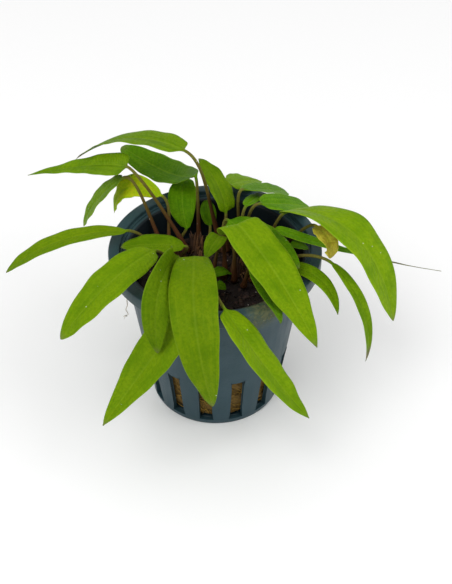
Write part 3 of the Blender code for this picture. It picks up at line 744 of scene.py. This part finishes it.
def build_pot():
    rows, first_inner, first_outer = pot_rows()
    sector = 2 * math.pi / SLOT_COUNT
    start = math.radians(SLOT_FIRST_ANGLE - 90)
    points = []
    for radius, height in rows:
        for i in range(SLOT_COUNT):
            for offset in pot_columns(radius):
                angle = start + i * sector + offset
                points.append((radius * math.cos(angle), radius * math.sin(angle), height))
    columns = len(points) // len(rows)
    per_sector = columns // SLOT_COUNT
    open_cells = len(SLOT_COLUMNS) - 1

    def at(row, column):
        return row * columns + column % columns

    def is_open(row, column):
        in_rows = any(first <= row < first + SLOT_RINGS - 1
                      for first in (first_inner, first_outer))
        return in_rows and column % per_sector < open_cells

    faces = []
    for row in range(len(rows) - 1):
        for column in range(columns):
            if not is_open(row, column):
                faces.append((at(row, column), at(row, column + 1),
                              at(row + 1, column + 1), at(row + 1, column)))
    last_outer = first_outer + SLOT_RINGS - 1
    for i in range(SLOT_COUNT):
        left = i * per_sector
        right = left + open_cells
        for k in range(SLOT_RINGS - 1):
            low, high = first_inner + k, first_inner + k + 1
            out_low, out_high = last_outer - k, last_outer - k - 1
            faces.append((at(low, left), at(high, left), at(out_high, left), at(out_low, left)))
            faces.append((at(high, right), at(low, right), at(out_low, right), at(out_high, right)))
        for column in range(left, right):
            faces.append((at(first_inner, column + 1), at(first_inner, column),
                          at(last_outer, column), at(last_outer, column + 1)))
            faces.append((at(first_inner + SLOT_RINGS - 1, column),
                          at(first_inner + SLOT_RINGS - 1, column + 1),
                          at(first_outer, column + 1), at(first_outer, column)))
    faces.append(tuple(range(columns)))
    faces.append(tuple(reversed(range((len(rows) - 1) * columns, len(rows) * columns))))
    faces = [tuple(reversed(face)) for face in faces]
    pot = add_mesh("pot_moulding", points, faces, pot_material())
    bevel = pot.modifiers.new("soft_edges", "BEVEL")
    bevel.width = EDGE_BEVEL * MM
    bevel.segments = 2
    bevel.limit_method = "ANGLE"
    bevel.angle_limit = math.radians(50)
    pot.data.set_sharp_from_angle(angle=math.radians(45))
    dress(pot, "pot")


# Growing medium

def wool_reach(height):
    """How far the plug stands out at a height, drawn in at its foot."""
    drawn_in = WOOL_DRAWN_IN * (1 - smooth(height, 2.0, 3.0))
    return inner_radius(height) - WOOL_GAP - drawn_in


def build_rockwool():
    rng = np.random.default_rng(WOOL_SEED)
    shifts = rng.uniform(0, 2 * math.pi, 8)

    def lumps(angle, height):
        total = np.zeros_like(angle)
        for k, shift in enumerate(shifts):
            total += np.sin((5 + 4 * k) * angle + 0.9 * height * (1 + 0.3 * k) + shift) / (2 + k)
        return WOOL_LUMP * total

    heights = np.concatenate([np.full(3, WOOL_TOP), np.linspace(WOOL_TOP, WOOL_FOOT, WOOL_ROWS),
                              np.full(2, WOOL_FOOT)])
    radii = np.array([wool_reach(h) for h in heights])
    radii[:3] *= (0.05, 0.5, 0.97)
    radii[-2:] *= (0.5, 0.05)
    body = turned(radii, heights, WOOL_SIDES, lumps)
    parts = [(*body, 0.35)]
    for _ in range(FIBRE_COUNT):
        angle = rng.uniform(0, 2 * math.pi)
        height = rng.uniform(*FIBRE_HEIGHTS)
        slope = rng.uniform(-1.3, 1.3)
        length = rng.uniform(*FIBRE_LENGTHS)
        steps = np.linspace(-0.5, 0.5, FIBRE_STEPS)
        turn = angle + steps * length * math.cos(slope) / wool_reach(height)
        rise = np.clip(height + steps * length * math.sin(slope), *FIBRE_LIMITS)
        out = np.array([wool_reach(h) for h in rise]) + 0.25 + 0.4 * hills(steps + 0.5, rng, 2)
        path = np.stack([out * np.cos(turn), out * np.sin(turn), rise], axis=1)
        thick = rng.uniform(*FIBRE_RADII) * np.interp(np.abs(steps), (0, 0.4, 0.5), (1, 0.9, 0.3))
        parts.append((*tube(path, thick, 5), rng.uniform(0.1, 1.0)))
    points, faces, tint = joined(parts)
    material = strand_material("rockwool", WOOL_DARK, WOOL_LIGHT, 0.95, 0.7, 0.12)
    wool = add_mesh("rockwool_fibre", points, faces, material, tint=tint)
    dress(wool, "rockwool_plug")


def crumb(rng, size):
    """A small lump with uneven sides: a squashed ball of 20 points."""
    rows, sides = 4, 6
    points = [(0, 0, 1.0)]
    for i in range(1, rows):
        polar = math.pi * i / rows
        for j in range(sides):
            turn = 2 * math.pi * (j + 0.5 * (i % 2)) / sides
            points.append((math.sin(polar) * math.cos(turn), math.sin(polar) * math.sin(turn),
                           math.cos(polar)))
    points.append((0, 0, -1.0))
    points = np.array(points) * rng.uniform(0.72, 1.15, (len(points), 1))
    points *= size * np.array((1.0, rng.uniform(0.6, 1.0), rng.uniform(0.45, 0.8)))
    turn = rng.uniform(0, 2 * math.pi)
    spin = np.array(((math.cos(turn), -math.sin(turn), 0),
                     (math.sin(turn), math.cos(turn), 0),
                     (0, 0, 1)))
    faces = []
    for j in range(sides):
        k = (j + 1) % sides
        faces.append((0, 1 + j, 1 + k))
        for i in range(rows - 2):
            upper, lower = 1 + i * sides, 1 + (i + 1) * sides
            faces.append((upper + j, lower + j, lower + k, upper + k))
        last = 1 + (rows - 2) * sides
        faces.append((last + k, last + j, len(points) - 1))
    return points @ spin.T, faces


def soil_height(x, y):
    """The uneven top of the medium, lower at its rim."""
    bumps = np.sin(0.9 * x + 1.3) * np.cos(0.8 * y) + 0.6 * np.sin(1.9 * x - 1.4 * y)
    reach = np.hypot(x, y) / SOIL_RADIUS
    return SOIL_TOP - 0.7 + 0.22 * bumps - 0.9 * smooth(reach, 0.86, 1.0)


def build_soil():
    rng = np.random.default_rng(SOIL_SEED)
    rows = []
    for i in range(SOIL_RINGS):
        radius = SOIL_RADIUS * (0.02 + 0.98 * i / (SOIL_RINGS - 1))
        angle = 2 * math.pi * np.arange(SOIL_SIDES) / SOIL_SIDES
        x, y = radius * np.cos(angle), radius * np.sin(angle)
        rows.append(np.stack([x, y, soil_height(x, y)], axis=1))
    for shrink in (0.99, 0.02):
        foot = rows[SOIL_RINGS - 1].copy()
        foot[:, :2] *= shrink
        foot[:, 2] = SOIL_FOOT
        rows.append(foot)
    faces = []
    for i in range(len(rows) - 1):
        for j in range(SOIL_SIDES):
            k = (j + 1) % SOIL_SIDES
            faces.append((i * SOIL_SIDES + j, (i + 1) * SOIL_SIDES + j,
                          (i + 1) * SOIL_SIDES + k, i * SOIL_SIDES + k))
    faces.append(tuple(range(SOIL_SIDES)))
    faces.append(tuple(reversed(range((len(rows) - 1) * SOIL_SIDES, len(rows) * SOIL_SIDES))))
    parts = [(np.concatenate(rows), faces, 0.2)]
    for _ in range(CRUMB_COUNT):
        radius = SOIL_RADIUS * 0.97 * math.sqrt(rng.uniform())
        angle = rng.uniform(0, 2 * math.pi)
        x, y = radius * math.cos(angle), radius * math.sin(angle)
        size = CRUMB_SIZE + CRUMB_SPREAD * rng.uniform() ** 2
        pale = rng.uniform() < PALE_SHARE
        points, crumb_faces = crumb(rng, PALE_SIZE if pale else size)
        lift = soil_height(x, y) + (PALE_LIFT if pale else CRUMB_LIFT)
        parts.append((points + (x, y, lift), crumb_faces, 1.0 if pale else rng.uniform(0, 0.9)))
    points, faces, tint = joined(parts)
    soil = add_mesh("soil_crumbs", points, faces, soil_material(), tint=tint)
    dress(soil, "soil_layer")


# Crowns

def sheath(rng, foot, angle):
    """One old leaf base that stands against the rootstock and tapers to a point."""
    out = np.array((math.cos(angle), math.sin(angle), 0.0))
    tall = rng.uniform(*SHEATH_HEIGHTS)
    t = np.linspace(0, 1, 9)[:, None]
    spread = 1.25 - 0.5 * t + rng.uniform(0.0, 1.6) * t ** 2
    sway = 0.5 * rng.uniform(-1, 1) * t ** 2
    sideways = np.array((-out[1], out[0], 0.0))
    path = foot + out * spread + sideways * sway + UP * tall * t
    radii = rng.uniform(*SHEATH_RADII) * np.interp(t[:, 0], (0, 0.2, 0.6, 1), (0.9, 1.0, 0.6, 0.07))
    return (*tube(path, radii, 8), rng.uniform(0.0, 1.0))


def rootlet(rng, foot):
    """One thin root that arches down into the medium."""
    angle = rng.uniform(0, 2 * math.pi)
    out = np.array((math.cos(angle), math.sin(angle), 0.0))
    t = np.linspace(0, 1, 7)[:, None]
    path = foot + out * (1.2 + 2.4 * t) + UP * (1.3 + 1.2 * t - 2.2 * t ** 2)
    path[:, 0] += 0.3 * hills(t[:, 0], rng, 2)
    return (*tube(path, np.linspace(*ROOTLET_RADII, 7), 5), rng.uniform(0.3, 1.0))


def build_crown(name, place, seed, material):
    """A short rootstock wrapped in the brown bases of old leaves."""
    rng = np.random.default_rng(seed)
    foot = np.array((*place, SOIL_TOP - 0.6))
    path = foot + np.array([(0.1 * math.sin(2.0 * i), 0.1 * math.cos(1.7 * i), STUMP_RISE * i)
                            for i in range(STUMP_RINGS)])
    radii = STUMP_RADIUS * np.interp(np.arange(STUMP_RINGS), (0, 4, 7), (1.0, 0.85, 0.35))
    parts = [(*tube(path, radii, 14), 0.3)]
    for k in range(SHEATHS):
        angle = 2 * math.pi * (k + rng.uniform(-0.3, 0.3)) / SHEATHS
        parts.append(sheath(rng, foot, angle))
    for _ in range(ROOTLETS):
        parts.append(rootlet(rng, foot))
    points, faces, tint = joined(parts)
    crown = add_mesh(name + "_sheaths", points, faces, material, tint=tint)
    dress(crown, name)


# Leaves

def blade_line(leaf, t):
    """Points and directions along the parabola through joint, middle and tip."""
    joint, middle, tip = (np.array(leaf[k], float) for k in ("joint", "middle", "tip"))
    first = np.linalg.norm(middle - joint)
    second = np.linalg.norm(tip - middle)
    m = first / (first + second)
    t = np.asarray(t, float)[:, None]
    line = joint * ((t - m) * (t - 1) / m)
    line = line + middle * (t * (t - 1) / (m * (m - 1)))
    line = line + tip * (t * (t - m) / (1 - m))
    slope = joint * ((2 * t - m - 1) / m)
    slope = slope + middle * ((2 * t - 1) / (m * (m - 1)))
    slope = slope + tip * ((2 * t - m) / (1 - m))
    return line, slope / np.linalg.norm(slope, axis=1)[:, None]


def stalk_line(leaf, t):
    """Points and directions along the curve from the crown to the blade."""
    joint = np.array(leaf["joint"], float)
    foot = np.array((*leaf["foot"], SOIL_TOP + FOOT_HEIGHT))
    start = blade_line(leaf, [0.0])[1][0]
    span = np.linalg.norm(joint - foot)
    first = foot + (joint - foot) * STALK_FIRST_SHARE + np.array((0, 0, span * leaf["arch"]))
    second = joint - start * span * STALK_SECOND_SHARE
    t = np.asarray(t, float)[:, None]
    line = foot * (1 - t) ** 3 + 3 * first * t * (1 - t) ** 2
    line = line + 3 * second * t * t * (1 - t) + joint * t ** 3
    slope = (first - foot) * (1 - t) ** 2 + 2 * (second - first) * t * (1 - t)
    slope = slope + (joint - second) * t * t
    return line, slope / np.linalg.norm(slope, axis=1)[:, None]


def outline_share(t, belly, tail):
    """How wide the blade is at t, as a share of its greatest width."""
    if tail:
        t = np.interp(t, (0, tail, 1), (0, 0.93, 1))
    rise = BLUNTNESS * belly
    fall = BLUNTNESS * (1 - belly)
    peak = belly ** rise * (1 - belly) ** fall
    return t ** rise * (1 - t) ** fall / peak


def leaf_place(centre, joint_index, lead):
    """Where each point lies: -1 to 0 along the stalk, then 0 to 1 along the blade."""
    steps = np.linalg.norm(np.diff(centre, axis=0), axis=1)
    length = np.concatenate([[0.0], np.cumsum(steps)])
    start = length[joint_index] - lead
    return np.where(length < start, length / start - 1, (length - start) / (length[-1] - start))


def leaf_axes(leaf, stalk_t, blade_t):
    """Centre line, and the directions across the blade and out of its face."""
    stalk, stalk_along = stalk_line(leaf, stalk_t)
    blade, blade_along = blade_line(leaf, blade_t)
    centre = np.concatenate([stalk, blade])
    along = np.concatenate([stalk_along, blade_along])
    reach = blade[-1] - blade[0]
    level = np.array((-reach[1], reach[0], 0.0)) / np.hypot(reach[0], reach[1])
    side = level - (along @ level)[:, None] * along
    side /= np.linalg.norm(side, axis=1)[:, None]
    up = np.cross(along, side)
    roll = leaf["lean"] + leaf["twist"] * (blade_t - 0.5)
    roll = np.radians(np.concatenate([roll[0] * stalk_t ** 2, roll]))[:, None]
    return (centre, side * np.cos(roll) + up * np.sin(roll),
            up * np.cos(roll) - side * np.sin(roll))


def blade_section(leaf, place, rng):
    """How far each point of each ring lies across the blade and out of its face."""
    t = np.clip(place, 0, 1)
    u = np.linspace(1, -1, ACROSS)
    u = np.concatenate([u, u[::-1]])[None, :]
    edge = np.abs(u)
    half = leaf["width"] / 2 * outline_share(t, leaf["belly"], leaf["tail"])
    uneven = UNEVEN * min(leaf["width"], UNEVEN_WIDTH)
    left = half * (1 + uneven * hills(t, rng, 3, 1.5, 6.0))
    right = half * (1 + uneven * hills(t, rng, 3, 1.5, 6.0))
    wide = np.where(u > 0, left[:, None], right[:, None])
    wide = np.maximum(wide, TIP_HALF_WIDTH)
    t = t[:, None]
    fold = math.radians(FOLD_DEGREES) * smooth(t, 0.0, 0.15)
    across = wide * u * np.cos(fold)
    out = wide * np.sin(fold) * edge ** 0.75 * (1 - 0.25 * edge ** 4)
    ripple_left = hills(place, rng, 2, 2.0, 5.0)[:, None]
    ripple_right = hills(place, rng, 2, 2.0, 5.0)[:, None]
    ripple = np.where(u > 0, ripple_left, ripple_right)
    ripple = ripple * smooth(t, 0.03, 0.25) * smooth(t, 1.0, 0.8)
    out = out + leaf["wave"] * leaf["width"] * ripple * edge ** 2.5
    thick = MARGIN_HALF + MIDDLE_EXTRA * (1 - edge ** 2)
    thick = thick * np.interp(t, (0, 0.9, 1), (1, 0.8, 0.5))
    top_dip = GROOVE_DEPTH * np.exp(-(u * wide / GROOVE_REACH) ** 2)
    for vein in SIDE_VEINS:
        off_vein = (edge - vein) * wide / SIDE_VEIN_REACH
        top_dip = top_dip + SIDE_VEIN_DEPTH * np.exp(-off_vein ** 2)
    rib = np.interp(t, (0, 0.5, 1), RIB_HEIGHTS) * np.exp(-(u * wide / RIB_REACH) ** 2)
    face = np.concatenate([np.ones(ACROSS), -np.ones(ACROSS)])[None, :]
    return across, out + np.where(face > 0, thick - top_dip, -thick - rib)


def build_leaf(spec, seed, material):
    """Stalk and blade as one skin, round at the stalk and flat from where the blade opens."""
    leaf = {**LEAF_DEFAULTS, **spec}
    rng = np.random.default_rng(seed)
    stalk_t = np.linspace(0, 1, STALK_STEPS, endpoint=False)
    even = np.linspace(0, 1, BLADE_STEPS)
    blade_t = 0.6 * even + 0.4 * (0.5 - 0.5 * np.cos(math.pi * even))
    centre, side, up = leaf_axes(leaf, stalk_t, blade_t)
    place = leaf_place(centre, STALK_STEPS, leaf["lead"])
    across, out = blade_section(leaf, place, rng)
    turn = math.pi * (np.arange(ACROSS) + 0.5) / ACROSS
    turn = np.concatenate([turn, math.pi + turn])
    radius = STALK_RADIUS + SHEATH_EXTRA * np.exp(-(place + 1) / SHEATH_REACH)
    radius = radius * (1 + 0.04 * hills(place, rng, 3, 1.0, 5.0))
    grown = smooth(place, *BLADE_OPENS)[:, None]
    across = across * grown + radius[:, None] * np.cos(turn) * (1 - grown)
    out = out * grown + radius[:, None] * np.sin(turn) * (1 - grown)
    points = centre[:, None] + side[:, None] * across[:, :, None] + up[:, None] * out[:, :, None]
    around = 2 * ACROSS
    u = np.linspace(1, -1, ACROSS)
    marks = np.empty(points.shape)
    marks[:, :, 0] = place[:, None]
    marks[:, :, 1] = np.concatenate([u, u[::-1]])
    marks[:, :, 2] = np.concatenate([np.ones(ACROSS), -np.ones(ACROSS)])
    count = points.shape[0] * around
    tint = np.full(count, rng.uniform(-TINT_SPREAD, TINT_SPREAD))
    shade = np.full(count, leaf["shade"])
    browned = smooth(place, leaf["dry"] - DRY_BEFORE, leaf["dry"] + DRY_AFTER)
    dryness = np.repeat(DRY_STRENGTH * browned, around)
    obj = add_mesh(leaf["name"] + "_fine", points.reshape(-1, 3), skin_faces(len(place), around),
                   material, leaf_place=marks.reshape(-1, 3), leaf_tint=tint,
                   leaf_shade=shade, leaf_dryness=dryness)
    dress(obj, leaf["name"])


def build_root():
    """A hair-thin root under the rim, with a bit of fibre caught at its end."""
    rng = np.random.default_rng(ROOT_SEED)
    guide = np.array(ROOT_POINTS)
    t = np.linspace(0, 1, 30)
    known = np.linspace(0, 1, len(guide))
    path = np.stack([np.interp(t, known, guide[:, k]) for k in range(3)], axis=1)
    path[1:-1] = (path[:-2] + 2 * path[1:-1] + path[2:]) / 4
    path[:, 0] += 0.12 * hills(t, rng, 3, 2, 6)
    parts = [(*tube(path, np.linspace(*ROOT_RADII, len(path)), 7), 0.8)]
    for k in range(TWIGS):
        start = path[-4 + k % 3]
        reach = np.array((rng.uniform(-1.4, 0.9), rng.uniform(-0.3, 0.3), rng.uniform(-0.9, 0.5)))
        steps = np.linspace(0, 1, 6)[:, None]
        twig = start + reach * steps + 0.25 * UP * np.sin(math.pi * steps)
        parts.append((*tube(twig, np.linspace(*TWIG_RADII, 6), 5), rng.uniform(0.2, 0.7)))
    points, faces, tint = joined(parts)
    material = strand_material("root", ROOT_DARK, ROOT_LIGHT, 0.7, 0.6, 0.03)
    root = add_mesh("stray_root_fine", points, faces, material, tint=tint)
    dress(root, "stray_root")


# Stage, light and camera

def build_stage():
    half = FLOOR_SIZE / 2
    corners = [(-half, -half, 0), (half, -half, 0), (half, half, 0), (-half, half, 0)]
    material, _, shader = new_material("floor")
    shader.inputs["Base Color"].default_value = (FLOOR_WHITE, FLOOR_WHITE, FLOOR_WHITE, 1.0)
    shader.inputs["Roughness"].default_value = 0.9
    shader.inputs["Specular IOR Level"].default_value = 0.1
    floor = add_mesh("floor", np.array(corners) / MM, [(0, 1, 2, 3)], material)
    world = bpy.data.worlds.new("studio")
    world.use_nodes = True
    background = world.node_tree.nodes["Background"]
    background.inputs["Color"].default_value = (1.0, 1.0, 1.0, 1.0)
    background.inputs["Strength"].default_value = SKY_STRENGTH
    bpy.context.scene.world = world


def add_light(name, location, size, power):
    light = bpy.data.lights.new(name, "AREA")
    light.shape = "DISK"
    light.size = size
    light.energy = power
    obj = bpy.data.objects.new(name, light)
    obj.location = location
    direction = np.array(location) - np.array(LIGHT_AIM)
    flat = math.hypot(direction[0], direction[1])
    obj.rotation_euler = (math.atan2(flat, direction[2]), 0.0,
                          math.atan2(direction[0], -direction[1]))
    bpy.context.scene.collection.objects.link(obj)


def add_camera():
    tilt = math.radians(CAMERA_ELEVATION)
    x, y, z = CAMERA_TARGET
    camera = bpy.data.cameras.new("camera")
    camera.lens = CAMERA_LENS
    camera.clip_start = 0.01
    obj = bpy.data.objects.new("camera", camera)
    obj.location = (x * MM, (y - CAMERA_DISTANCE * math.cos(tilt)) * MM,
                    (z + CAMERA_DISTANCE * math.sin(tilt)) * MM)
    obj.rotation_euler = (math.pi / 2 - tilt, 0.0, 0.0)
    bpy.context.scene.collection.objects.link(obj)
    bpy.context.scene.camera = obj


build_pot()
build_rockwool()
build_soil()
crown_material = strand_material("crown", CROWN_DARK, CROWN_LIGHT, 0.8, 1.1, 0.08)
for number, (crown_name, crown_place) in enumerate(CROWNS.items()):
    build_crown(crown_name, crown_place, CROWN_SEED + number, crown_material)
leaf_materials = {tone: leaf_material(tone) for tone in TONES}
for number, leaf_spec in enumerate(LEAVES):
    build_leaf(leaf_spec, LEAF_SEED + number, leaf_materials[leaf_spec["tone"]])
build_root()
build_stage()
for light_spec in LIGHTS:
    add_light(**light_spec)
add_camera()
bpy.context.scene.view_settings.view_transform = "Standard"
